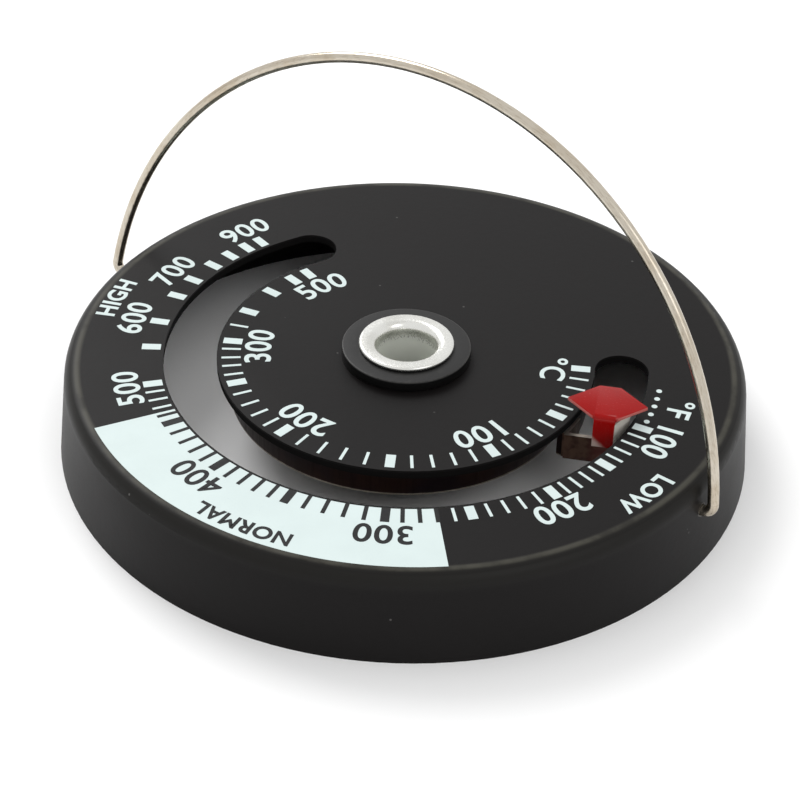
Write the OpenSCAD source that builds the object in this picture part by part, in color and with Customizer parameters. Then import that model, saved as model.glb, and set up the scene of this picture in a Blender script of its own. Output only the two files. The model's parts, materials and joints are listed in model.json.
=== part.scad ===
// Magnetic surface thermometer for a stove or flue pipe.
// A stamped cover carries the dial. A bimetal coil under it turns a red arrow along a curved slot,
// a ring magnet holds the whole on steel, and a wire bail lifts it off.
// The origin is the centre of the cover's open edge, on the plane it rests on. +Z points out of the dial.
// Directions round the dial are angles from +X towards +Y.

/* [Cover] */
// Diameter of the cover at its open edge
cover_d = 63.5; // [58:0.5:80]
// Height from the open edge to the dial face
cover_h = 8.6; // [7:0.1:12]
// How far the wall leans in between the open edge and the face
cover_draft = 0.85; // [0:0.05:1.5]
// Outside radius of the edge between the wall and the face
rim_r = 1.3; // [1.1:0.1:2]
// Thickness of the sheet that the cover is stamped from
sheet_t = 0.8; // [0.5:0.05:0.95]

/* [Slot] */
// Radius of the slot's middle line
slot_r = 19.65; // [18.9:0.05:21]
// Width of the slot
slot_w = 4.84; // [4:0.02:6]
// How much wider the slot is at its round ends, on each side
slot_relief = 0.02; // [0.02:0.01:0.1]
// Direction of the slot's tip at the hot end of the scale
slot_hot_tip = 112; // [100:0.5:116]
// Direction of the slot's tip at the cold end of the scale
slot_cold_tip = 362.3; // [356:0.1:370]

/* [Hub] */
// Bore of the tubular eyelet
bore_d = 5.4; // [4:0.1:6]
// Wall of the eyelet
eyelet_wall = 0.4; // [0.3:0.05:0.6]
// Diameter of the eyelet's flange over the dial
flange_d = 8.7; // [8.2:0.1:11]
// Thickness of the eyelet's flanges
flange_t = 0.45; // [0.35:0.05:0.6]
// Radius of the lip where the bore opens
lip_r = 0.8; // [0.6:0.05:1]
// Diameter of the eyelet's rolled flange inside
roll_d = 8.8; // [8.2:0.1:11]
// Diameter of the black washer
washer_d = 11.8; // [10:0.1:16]
// Thickness of the black washer
washer_t = 1.0; // [0.5:0.1:2]
// Outside diameter of the bush that grips the coil
bush_d = 9; // [8.4:0.1:10]
// Clearance all round the eyelet's barrel
hub_clear = 0.05; // [0.03:0.01:0.1]

/* [Magnet] */
// Outside diameter of the ring magnet
magnet_d = 21.5; // [18:0.5:30]
// Hole in the ring magnet
magnet_bore_d = 12; // [11.5:0.5:14]
// Thickness of the ring magnet
magnet_t = 3; // [2:0.1:3.4]
// How far the magnet stays behind the cover's open edge
magnet_recess = 0.5; // [0.2:0.1:1]
// Chamfer round the magnet's edges
magnet_chamfer = 0.3; // [0.1:0.05:0.5]
// Thickness of the steel plate behind the magnet
plate_t = 0.7; // [0.4:0.1:0.9]
// How much smaller the plate's radius is than the magnet's
plate_inset = 0.3; // [0:0.1:1]

/* [Bimetal coil] */
// Radius of the coil's outer end, to the middle of the strip
coil_outer_r = 16.6; // [14:0.1:17]
// Radius of the coil's inner end, to the middle of the strip
coil_inner_r = 6; // [5.5:0.1:7]
// Number of turns
coil_turns = 3.2; // [2:0.1:4]
// How closely the outer turns lie together, where 1 is an even spiral
coil_crowding = 1.6; // [1:0.1:2]
// Thickness of the bimetal strip
strip_t = 0.5; // [0.3:0.05:0.6]
// Gap between the strip's edges and the cover above and the plate below
strip_gap = 0.5; // [0.3:0.05:0.7]
// How far the coil's inner end reaches into the bush
tang_depth = 1.0; // [0.5:0.1:1.2]
// Clearance on each side of the coil's inner end in the bush
tang_clear = 0.05; // [0.03:0.01:0.1]

/* [Pointer] */
// Direction of the arrow's centre in the stored position
pointer_dir = 335.3; // [300:0.1:338]
// Angle of the arrow's long axis to the radius through its centre
arrow_skew = 15.2; // [5:0.1:20]
// Length of the arrow from tip to tip
arrow_l = 7.05; // [6:0.05:9]
// Width of the arrow across its flats
arrow_w = 4.75; // [4:0.05:6]
// Length of the arrow's flat edges
arrow_flat = 1.9; // [1.5:0.1:2.5]
// Thickness of the arrow's sheet
arrow_t = 0.3; // [0.2:0.05:0.4]
// Height of the arrow's underside above the dial face
arrow_rise = 1.0; // [0.5:0.1:2]
// Outside radius of the bend between the arrow and its tab
arrow_bend = 0.6; // [0.5:0.05:0.9]
// Width of the tab that goes down through the slot
tab_w = 1.9; // [1.4:0.1:2.2]
// How far the tab reaches down over the arm
tab_lap = 0.6; // [0.4:0.1:1.5]
// Angle of the tab's side leg to the tab
leg_turn = 62; // [50:1:75]
// Thickness of the arm between the coil and the tab
arm_t = 0.4; // [0.3:0.05:0.6]
// How far round the coil the arm's foot reaches, in degrees
foot_turn = 9; // [5:1:15]
// Gap that the spot weld fills between the coil's end and the arm's foot
weld_gap = 0.02; // [0.01:0.01:0.05]
// Clearance between the tab's side leg and the slot's outer edge
stem_clear = 0.37; // [0.3:0.01:0.5]
// How much nearer the hub the tab's corner is than the side leg's end
leg_inset = 0.42; // [0.3:0.01:0.6]

/* [Bail] */
// Diameter of the bail's wire
wire_d = 1.0; // [0.8:0.05:1.4]
// Clearance round the wire in its holes
bail_clear = 0.05; // [0.03:0.01:0.1]
// Height of the middle of the bail's pivot line above the open edge
pivot_z = 4.8; // [3.5:0.1:5.2]
// Direction of the bail's pivot line
bail_dir = -34.4; // [-80:0.1:80]
// Slope of the bail's pivot line, which rises towards its near end
bail_tilt = 1.8; // [0:0.1:2]
// How far the bail leans away from upright in the stored position
bail_lean = 10.2; // [0:0.1:30]
// Gap between the cover's wall and the bail where the bail is centred
bail_gap = 2; // [1.9:0.02:3]
// How far the bail has slid along its pivot line
bail_shift = 1.55; // [0:0.05:1.55]
// How far the centre of the bail's bow lies under the pivot line
bail_drop = 3.8; // [2:0.1:5]
// Radius of the bends at the bail's ends, to the middle of the wire
bail_bend = 0.8; // [0.7:0.05:0.85]
// How far the bail's loose end reaches past the inside of the wall
bail_reach = 0.8; // [0.6:0.1:2]
// How much thicker the wire is at its bends, on each side
bend_swell = 0.01; // [0.01:0.005:0.02]

/* [Hidden] */
$fn = 96;
// Length by which cuts run past the faces they open
past = 1;
// Points in one turn of the coil
coil_steps = 30;
// Length by which the bail's straight ends and its bow run into the bends
bail_lap = 0.1;
// Length by which the arrow's side leg starts inside the tab and stays under the bend
leg_lap = 0.05;

// cover
edge_r = cover_d / 2;
draft_angle = atan(cover_draft / cover_h);
rim_z = cover_h - rim_r;
rim_x = edge_r - rim_z * tan(draft_angle) - rim_r / cos(draft_angle);
face_z = cover_h;
under_z = cover_h - sheet_t;
slot_end_turn = asin((slot_w / 2 + slot_relief) / slot_r);
slot_hot = slot_hot_tip + slot_end_turn;
slot_cold = slot_cold_tip - slot_end_turn;

// hub stack, from the magnet up
barrel_d = bore_d + 2 * eyelet_wall;
hub_hole_d = barrel_d + 2 * hub_clear;
magnet_top = magnet_recess + magnet_t;
plate_top = magnet_top + plate_t;
bush_h = under_z - plate_top;
eyelet_low = magnet_top - flange_t;
eyelet_high = face_z + washer_t + flange_t;

// coil
strip_low = plate_top + strip_gap;
strip_h = bush_h - 2 * strip_gap;

// pointer, in axes that lie along and across the arrow with their origin at its centre
hub_x = -slot_r * cos(arrow_skew);
hub_y = slot_r * sin(arrow_skew);
tab_face_y = -arrow_w / 2;
arm_y = tab_face_y + arrow_t;
arrow_low = face_z + arrow_rise;
arrow_top = arrow_low + arrow_t;
foot_r = coil_outer_r + strip_t / 2 + weld_gap;
stem_reach = slot_r + slot_w / 2 - stem_clear;
corner_x = x_at_radius(tab_face_y, stem_reach - leg_inset);
arm_x = x_at_radius(arm_y + arm_t / 2, foot_r + arm_t / 2);
leg_x = corner_x - leg_lap;
leg_l = length_to_radius([leg_x - hub_x, tab_face_y - hub_y], leg_turn, stem_reach);
arm_end = leg_x - arrow_t * tan(leg_turn / 2) - weld_gap;
arm_dir = pointer_dir + arrow_skew + atan2(arm_y + arm_t / 2 - hub_y, arm_x - hub_x);
stem_low = strip_low + strip_h - tab_lap;

// bail
wall_r = edge_r - pivot_z * tan(draft_angle);
bail_half = wall_r + bail_gap + wire_d / 2;
bail_r = sqrt(bail_half * bail_half + bail_drop * bail_drop);
bend_x = sqrt(pow(bail_r - bail_bend, 2) - pow(bail_bend + bail_drop, 2));
bend_turn = asin((bail_bend + bail_drop) / (bail_r - bail_bend));
bow_start = bend_turn - asin(bail_lap / bail_r);
bail_end = wall_r - sheet_t / cos(draft_angle) - bail_reach - bail_shift;

// Place along the arrow, at a given place across it, that lies at a given radius from the hub.
function x_at_radius(y, r) = hub_x + sqrt(r * r - pow(y - hub_y, 2));

// Length from a point, in a given direction, at which a given radius is reached.
function length_to_radius(point, angle, r) =
    let (along = point * [cos(angle), sin(angle)])
    sqrt(along * along - point * point + r * r) - along;

// Radius of the strip's middle, at a share of the way from the coil's outer end to its inner end.
function coil_r(share) = coil_outer_r - (coil_outer_r - coil_inner_r) * pow(share, coil_crowding);

// Point on the coil, offset outwards from the strip's middle.
function coil_point(share, offset) =
    let (angle = arm_dir + 360 * coil_turns * share, r = coil_r(share) + offset)
    [r * cos(angle), r * sin(angle)];

// Half section of a cup with the cover's outline, moved in by a given distance.
module cup_section(inset, floor_z) {
    low_r = edge_r - inset / cos(draft_angle);
    corner_r = rim_r - inset;
    polygon([
        [0, floor_z],
        [low_r - floor_z * tan(draft_angle), floor_z],
        [rim_x + corner_r * cos(draft_angle), rim_z + corner_r * sin(draft_angle)],
        [rim_x, rim_z],
        [rim_x, cover_h - inset],
        [0, cover_h - inset]
    ]);
    translate([rim_x, rim_z]) circle(r = corner_r);
}

module slot_cut() {
    translate([0, 0, under_z - past]) {
        rotate([0, 0, slot_hot])
            rotate_extrude(angle = slot_cold - slot_hot)
                translate([slot_r - slot_w / 2, 0]) square([slot_w, sheet_t + 2 * past]);
        for (end = [slot_hot, slot_cold])
            rotate([0, 0, end]) translate([slot_r, 0, 0])
                cylinder(d = slot_w + 2 * slot_relief, h = sheet_t + 2 * past);
    }
}

// Stamped cover with the dial face, the pointer's slot and the bail's holes.
module cover() {
    color("#2e2c2d")
    difference() {
        rotate_extrude() difference() {
            cup_section(0, 0);
            cup_section(sheet_t, -past);
        }
        slot_cut();
        translate([0, 0, under_z - past]) cylinder(d = hub_hole_d, h = sheet_t + 2 * past);
        translate([0, 0, pivot_z]) rotate([0, 90 - bail_tilt, bail_dir])
            cylinder(d = wire_d + 2 * bail_clear, h = cover_d + 2 * past, center = true);
    }
}

// Washer between the dial and the eyelet's flange.
module hub_washer() {
    color("#3a393b")
    translate([0, 0, face_z]) difference() {
        cylinder(d = washer_d, h = washer_t);
        translate([0, 0, -past]) cylinder(d = hub_hole_d, h = washer_t + 2 * past);
    }
}

// Section of a flange that curves out of the bore, with its flat side up and a round outer edge.
module flange_section(r) {
    translate([bore_d / 2 + lip_r, -flange_t])
        square([r - flange_t / 2 - bore_d / 2 - lip_r, flange_t]);
    translate([r - flange_t / 2, -flange_t / 2]) circle(d = flange_t);
    intersection() {
        union() {
            translate([bore_d / 2, -lip_r]) square([eyelet_wall, lip_r]);
            translate([bore_d / 2, -flange_t]) square([lip_r, flange_t]);
        }
        translate([bore_d / 2 + lip_r, -lip_r]) circle(r = lip_r);
    }
}

// Tubular eyelet that clamps the washer, the cover, the bush and the plate.
module hub_eyelet() {
    color("#d9dadc")
    rotate_extrude() {
        translate([0, eyelet_high]) flange_section(flange_d / 2);
        translate([0, eyelet_low]) mirror([0, 1]) flange_section(roll_d / 2);
        translate([bore_d / 2, eyelet_low + lip_r])
            square([eyelet_wall, eyelet_high - eyelet_low - 2 * lip_r]);
    }
}

// Bush under the cover, with the slit that grips the coil's inner end.
module coil_bush() {
    slit_w = strip_t + 2 * tang_clear;
    color("#9a9b9d")
    translate([0, 0, plate_top]) difference() {
        cylinder(d = bush_d, h = bush_h);
        translate([0, 0, -past]) cylinder(d = hub_hole_d, h = bush_h + 2 * past);
        rotate([0, 0, arm_dir + 360 * coil_turns])
            translate([bush_d / 2 - tang_depth - tang_clear, -slit_w / 2, -past])
                cube([tang_depth + past, slit_w, bush_h + 2 * past]);
    }
}

// Steel plate that backs the magnet.
module pole_plate() {
    color("#8d8e90")
    translate([0, 0, magnet_top]) difference() {
        cylinder(r = magnet_d / 2 - plate_inset, h = plate_t);
        translate([0, 0, -past]) cylinder(d = hub_hole_d, h = plate_t + 2 * past);
    }
}

// Ring magnet with chamfered edges.
module ring_magnet() {
    c = magnet_chamfer;
    inner = magnet_bore_d / 2;
    outer = magnet_d / 2;
    color("#3b3532")
    translate([0, 0, magnet_recess]) rotate_extrude() polygon([
        [inner + c, 0], [outer - c, 0], [outer, c], [outer, magnet_t - c],
        [outer - c, magnet_t], [inner + c, magnet_t], [inner, magnet_t - c], [inner, c]
    ]);
}

// Spiral strip of bimetal standing on edge, from the arm's foot in to the bush.
module bimetal_coil() {
    steps = ceil(coil_turns * coil_steps);
    outside = [for (i = [0:steps]) coil_point(i / steps, strip_t / 2)];
    inside = [for (i = [steps:-1:0]) coil_point(i / steps, -strip_t / 2)];
    color("#a08a6c")
    translate([0, 0, strip_low]) linear_extrude(strip_h) {
        polygon(concat(outside, inside));
        rotate(arm_dir + 360 * coil_turns)
            translate([bush_d / 2 - tang_depth, -strip_t / 2])
                square([coil_inner_r + strip_t / 2 - bush_d / 2 + tang_depth, strip_t]);
    }
}

// Puts its children in the arrow's own axes.
module at_arrow() {
    rotate([0, 0, pointer_dir]) translate([slot_r, 0, 0]) rotate([0, 0, arrow_skew]) children();
}

// Arm from the coil's outer end to the arrow's tab, welded to both.
module pointer_arm() {
    color("#8f8274") {
        translate([0, 0, strip_low]) rotate([0, 0, arm_dir])
            rotate_extrude(angle = foot_turn) translate([foot_r, 0]) square([arm_t, strip_h]);
        at_arrow() translate([arm_x, arm_y, strip_low])
            cube([arm_end - arm_x, arm_t, strip_h]);
    }
}

// Section of the fold between the arrow and its tab, moved in by a given distance, with its origin
// at the bend's centre.
module fold_section(inset, down, along) {
    r = arrow_bend - inset;
    polygon([[-r, -down], [-r, 0], [0, 0], [0, r], [along, r], [along, -down]]);
    circle(r = r);
}

// Arrow folded from sheet, with a tab and a side leg that go down through the slot.
module pointer_arrow() {
    stem_h = arrow_top - arrow_bend - stem_low;
    color("#b3181c")
    at_arrow() {
        translate([0, 0, arrow_low]) linear_extrude(arrow_t) difference() {
            polygon([
                [-arrow_l / 2, 0], [-arrow_flat / 2, arrow_w / 2], [arrow_flat / 2, arrow_w / 2],
                [arrow_l / 2, 0], [arrow_flat / 2, -arrow_w / 2], [-arrow_flat / 2, -arrow_w / 2]
            ]);
            translate([corner_x - tab_w, tab_face_y - past])
                square([tab_w, arrow_bend + past]);
        }
        translate([corner_x - tab_w, tab_face_y + arrow_bend, arrow_top - arrow_bend])
            rotate([90, 0, 90]) linear_extrude(tab_w) difference() {
                fold_section(0, stem_h, arrow_bend);
                fold_section(arrow_t, stem_h + past, arrow_bend + past);
            }
        translate([leg_x, tab_face_y, stem_low]) rotate([0, 0, leg_turn])
            cube([leg_l, arrow_t, stem_h - leg_lap]);
    }
}

// Bend and straight end of the bail, in axes with X along the pivot line and Z up its middle.
module bail_leg() {
    translate([bail_end, 0, 0]) rotate([0, 90, 0])
        cylinder(d = wire_d, h = bend_x + bail_lap - bail_end);
    rotate([90, 0, 0]) translate([bend_x, bail_bend, 0]) rotate([0, 0, -90])
        rotate_extrude(angle = 90 + bend_turn)
            translate([bail_bend, 0]) circle(d = wire_d + 2 * bend_swell);
}

// Wire bail whose ends turn in through the holes in the cover's wall.
module bail_wire() {
    color("#c9c2b4")
    translate([0, 0, pivot_z]) rotate([0, -bail_tilt, bail_dir])
    rotate([-bail_lean, 0, 0]) translate([-bail_shift, 0, 0]) {
        rotate([90, 0, 0]) translate([0, -bail_drop, 0]) rotate([0, 0, bow_start])
            rotate_extrude(angle = 180 - 2 * bow_start) translate([bail_r, 0]) circle(d = wire_d);
        bail_leg();
        mirror([1, 0, 0]) bail_leg();
    }
}

cover();
hub_washer();
hub_eyelet();
coil_bush();
pole_plate();
ring_magnet();
bimetal_coil();
pointer_arm();
pointer_arrow();
bail_wire();
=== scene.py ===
"""Visual model of a magnetic surface thermometer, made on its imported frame.

Lengths are in metres. The origin is the centre of the cover's open edge, and +Z points out of
the dial. Directions round the dial are angles from +X towards +Y, in degrees.
"""

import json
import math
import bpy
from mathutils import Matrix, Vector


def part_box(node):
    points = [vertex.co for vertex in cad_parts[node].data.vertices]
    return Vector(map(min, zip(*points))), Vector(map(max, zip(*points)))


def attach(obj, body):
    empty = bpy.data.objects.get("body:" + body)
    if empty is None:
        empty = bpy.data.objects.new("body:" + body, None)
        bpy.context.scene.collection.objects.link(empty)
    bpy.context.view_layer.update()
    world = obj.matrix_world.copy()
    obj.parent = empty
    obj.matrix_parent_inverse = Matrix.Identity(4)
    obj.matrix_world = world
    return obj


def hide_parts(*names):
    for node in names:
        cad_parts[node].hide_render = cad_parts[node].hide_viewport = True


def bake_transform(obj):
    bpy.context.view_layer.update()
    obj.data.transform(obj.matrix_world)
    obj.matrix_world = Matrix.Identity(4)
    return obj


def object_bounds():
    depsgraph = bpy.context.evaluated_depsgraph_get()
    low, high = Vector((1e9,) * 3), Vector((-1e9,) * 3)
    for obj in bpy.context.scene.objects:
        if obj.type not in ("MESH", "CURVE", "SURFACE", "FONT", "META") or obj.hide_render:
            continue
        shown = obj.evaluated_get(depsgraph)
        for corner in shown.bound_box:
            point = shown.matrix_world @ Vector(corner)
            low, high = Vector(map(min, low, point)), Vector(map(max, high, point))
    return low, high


bl_info = {
    "name": "Surface Thermometer",
    "version": (1, 0, 0),
    "blender": (4, 5, 0),
    "location": "3D View > Sidebar > Thermometer",
    "description": "Dial, pieces, finishes and stage of a magnetic surface thermometer",
    "category": "Object",
}

import bmesh
import bpy
from bpy.props import FloatProperty, FloatVectorProperty, IntProperty, PointerProperty
from mathutils import Matrix, Vector

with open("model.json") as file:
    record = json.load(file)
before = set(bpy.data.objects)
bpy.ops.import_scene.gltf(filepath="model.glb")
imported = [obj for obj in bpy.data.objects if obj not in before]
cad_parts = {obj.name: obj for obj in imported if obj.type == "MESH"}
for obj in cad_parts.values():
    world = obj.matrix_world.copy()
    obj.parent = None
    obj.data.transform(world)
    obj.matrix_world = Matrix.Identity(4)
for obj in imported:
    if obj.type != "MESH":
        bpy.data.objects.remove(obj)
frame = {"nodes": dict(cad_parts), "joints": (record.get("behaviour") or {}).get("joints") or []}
CAD_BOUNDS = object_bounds()

MM = 0.001
FACE_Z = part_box("cover")[1].z
COVER_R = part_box("cover")[1].x
CUP_R = 0.0304  # radius inside which the cover's wall counts as its inner side
BAIL = next(joint for joint in frame["joints"] if joint["name"] == "bail_swing")
CAMERA = Matrix((  # axes in its columns, then its place over the centre of the face
    (0.99947222, -0.03241646, 0.00211198, 0.0),
    (0.02102479, 0.59594078, -0.8027531, -0.164513),
    (0.0247638, 0.80237383, 0.5963078, FACE_Z + 0.116924),
    (0.0, 0.0, 0.0, 1.0),
))

# directions of the dial's marks, and of the ends of its white band
FAHRENHEIT = {
    900: 128.9, 850: 133.1, 800: 138.3, 750: 144.1, 700: 151.8, 650: 159.3, 600: 170.4,
    550: 180.5, 500: 194.6, 450: 209.5, 400: 227.7, 350: 245.9, 300: 266.8, 250: 284.5,
    200: 303.1, 150: 318.3, 100: 334.1,
}
FAHRENHEIT_DOTS = [336.8, 339.7, 342.8, 345.7, 348.7]
CELSIUS = {
    500: 127.2, 450: 133.6, 400: 144.1, 350: 158.1, 300: 176.0, 250: 199.3, 200: 229.3,
    150: 266.2, 100: 298.7, 50: 327.3, 0: 354.6,
}
CELSIUS_TENS = [
    167.0, 180.5, 185.3, 189.8, 194.6, 205.2, 211.3, 217.2, 223.3, 236.7, 244.2, 251.4,
    258.7, 272.8, 279.1, 285.8, 292.2, 304.4, 310.1, 315.8, 321.6, 332.5, 337.9, 343.3,
    348.8,
]
BAND = (205.3, 277.7)


# ---------------------------------------------------------------- settings


def length(name, description, millimetres, low=0.0):
    return FloatProperty(
        name=name, description=description, default=millimetres * MM, min=low * MM,
        subtype="DISTANCE", unit="LENGTH", precision=5,
    )


def angle(name, description, degrees):
    return FloatProperty(
        name=name, description=description, default=math.radians(degrees),
        subtype="ANGLE", unit="ROTATION",
    )


def colour(name, description, rgb):
    return FloatVectorProperty(
        name=name, description=description, default=rgb, min=0.0, max=1.0, size=3,
        subtype="COLOR",
    )


class DialSettings(bpy.types.PropertyGroup):
    """Sizes of what is printed on the dial."""

    ink: length("Ink thickness", "Thickness of the printed ink", 0.02)
    sunk: length("Ink sunk", "How far the ink reaches under the face", 0.004)
    tick_f: length("Fahrenheit ticks", "Radius where the outer ticks start", 22.37)
    tick_f_l: length("Fahrenheit tick length", "Length of the outer ticks", 1.72)
    tick_c: length("Celsius ticks", "Radius where the inner ticks start", 15.07)
    tick_c_l: length("Celsius tick length", "Length of the inner ticks", 1.73)
    thick: length("Thick tick", "Width of a thick tick", 0.86)
    thin: length("Thin tick", "Width of a thin tick", 0.27)
    thick_band: length("Thick tick in band", "Width of a thick tick in the band", 0.774)
    thin_band: length("Thin tick in band", "Width of a thin tick in the band", 0.37)
    dot: length("Dot", "Diameter of the dots", 0.52)
    dot_r: length("Dot circle", "Radius of the circle that the dots lie on", 23.2)
    band_in: length("Band teeth", "Radius where the band's teeth start", 22.3)
    band_out: length("Band edge", "Outer radius of the band", 29.63)
    number_f: length("Fahrenheit numbers", "Radius of their middle", 25.5)
    number_c: length("Celsius numbers", "Radius of their middle", 13.55)
    number_h: length("Number height", "Height of the digits", 2.38)
    word_h: length("Word height", "Height of the zone words", 1.6)
    word_r: length("Zone words", "Radius of their middle", 28.3)


class HubSettings(bpy.types.PropertyGroup):
    """Sizes of the washer and the eyelet."""

    washer_edge: length("Washer edge", "Radius of the washer's rounded edges", 0.14)
    flange_edge: length("Flange edge", "Radius of the eyelet's outer edges", 0.21)
    lip: length("Lip", "Radius where the bore opens", 0.8)
    bore: length("Bore", "Radius of the eyelet's bore", 2.7)
    barrel: length("Barrel", "Outside radius of the eyelet's barrel", 3.1)
    flange: length("Flange", "Thickness of the flanges", 0.45)
    flange_r: length("Flange radius", "Outer radius of the upper flange", 4.35)
    steps: IntProperty(
        name="Steps", description="Steps round the lathed pieces", default=128, min=24
    )


class CoilSettings(bpy.types.PropertyGroup):
    """Shape of the bimetal coil."""

    outer: length("Outer radius", "Radius of the coil's outer end", 16.6)
    inner: length("Inner radius", "Radius of the coil's inner end", 6.0)
    turns: FloatProperty(name="Turns", description="Number of turns", default=3.2, min=1)
    crowding: FloatProperty(
        name="Crowding", description="How closely the outer turns lie", default=1.6, min=1
    )
    start: angle("Outer end", "Direction of the coil's outer end", 326.1909)
    strip: length("Strip", "Thickness of the strip", 0.5)
    tang: length("Tang", "Radius at which the inner end stops in the bush", 3.5)


class PointerSettings(bpy.types.PropertyGroup):
    """Place and edges of the arrow."""

    slot_r: length("Slot radius", "Radius of the slot's middle line", 19.65)
    place: angle("Direction", "Direction of the arrow's centre", 335.3)
    skew: angle("Skew", "Angle of the arrow to the radius", 15.2)
    corner: length("Corner", "Place along the arrow of the tab's corner", 0.94)
    edge: length("Edge", "Rounding of the arrow's edges", 0.035)


class FinishSettings(bpy.types.PropertyGroup):
    """Colours of the finishes."""

    paint: colour("Black paint", "Cover's satin paint", (0.0045, 0.0038, 0.0038))
    washer: colour("Washer", "Black of the washer", (0.006, 0.0058, 0.0058))
    white: colour("White ink", "Ink of the scale", (0.6, 0.69, 0.68))
    black: colour("Black ink", "Ink on the white band", (0.009, 0.009, 0.0095))
    bright: colour("Bright metal", "Plated eyelet", (0.74, 0.74, 0.71))
    wire: colour("Wire", "Drawn wire of the bail", (0.56, 0.51, 0.43))
    steel: colour("Steel", "Bush and plate", (0.46, 0.45, 0.44))
    arm: colour("Arm", "Bare strip of the arm", (0.2, 0.16, 0.13))
    # the strip's face: brown oxide, darkened further as painted shade
    bimetal: colour("Bimetal", "Heat-tinted face of the strip", (0.02, 0.009, 0.007))
    ferrite: colour("Ferrite", "Dark body of the magnet", (0.014, 0.010, 0.009))
    red: colour("Red enamel", "Arrow's enamel", (0.29, 0.0025, 0.002))
    pink: colour("Cut edge", "Where the enamel is thin on cut edges", (0.62, 0.2, 0.18))
    floor: colour("Floor", "Pale floor", (0.96, 0.96, 0.96))


class StageSettings(bpy.types.PropertyGroup):
    """Camera, lights and floor."""

    lens: FloatProperty(
        name="Lens", description="Focal length on a 36 mm sensor, in millimetres",
        default=99.55, min=10,
    )
    floor_r: length("Floor", "Half the width of the floor", 3000)
    key: FloatProperty(
        name="Key light", description="Power of the soft light behind", default=3.4,
        subtype="POWER", unit="POWER",
    )
    fill: FloatProperty(
        name="Fill light", description="Power of the soft light in front", default=0.9,
        subtype="POWER", unit="POWER",
    )
    world: FloatProperty(name="Sky", description="Strength of the pale sky", default=0.98)


GROUPS = {
    "thermometer_dial": DialSettings,
    "thermometer_hub": HubSettings,
    "thermometer_coil": CoilSettings,
    "thermometer_pointer": PointerSettings,
    "thermometer_finish": FinishSettings,
    "thermometer_stage": StageSettings,
}


# ------------------------------------------------------------ node building


class Wire:
    """An output socket that takes part in sums: each operator adds a Math node."""

    def __init__(self, sheet, socket):
        self.sheet, self.socket = sheet, socket

    def __add__(self, other):
        return self.sheet.maths("ADD", self, other)

    def __radd__(self, other):
        return self.sheet.maths("ADD", other, self)

    def __sub__(self, other):
        return self.sheet.maths("SUBTRACT", self, other)

    def __rsub__(self, other):
        return self.sheet.maths("SUBTRACT", other, self)

    def __mul__(self, other):
        return self.sheet.maths("MULTIPLY", self, other)

    def __pow__(self, other):
        return self.sheet.maths("POWER", self, other)

    def __abs__(self):
        return self.sheet.maths("ABSOLUTE", self)


class Sheet:
    """A node tree, with one method that adds any node."""

    def __init__(self, tree):
        self.tree = tree

    def add(self, kind, settings=None, values=None, out=0):
        """Adds a node, gives it its settings and then the values or wires of its sockets."""
        node = self.tree.nodes.new(kind)
        for key, value in (settings or {}).items():
            setattr(node, key, value)
        for key, value in (values or {}).items():
            socket = node.inputs[key]
            if isinstance(value, Wire):
                self.tree.links.new(value.socket, socket)
            elif value is not None:
                if socket.type == "RGBA" and len(value) == 3:
                    value = (*value, 1.0)
                socket.default_value = value
        return Wire(self, node.outputs[out]) if len(node.outputs) else None

    def maths(self, operation, *values):
        return self.add("ShaderNodeMath", {"operation": operation}, dict(enumerate(values)))

    def vector(self, x, y, z):
        return self.add("ShaderNodeCombineXYZ", None, {0: x, 1: y, 2: z})


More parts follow.
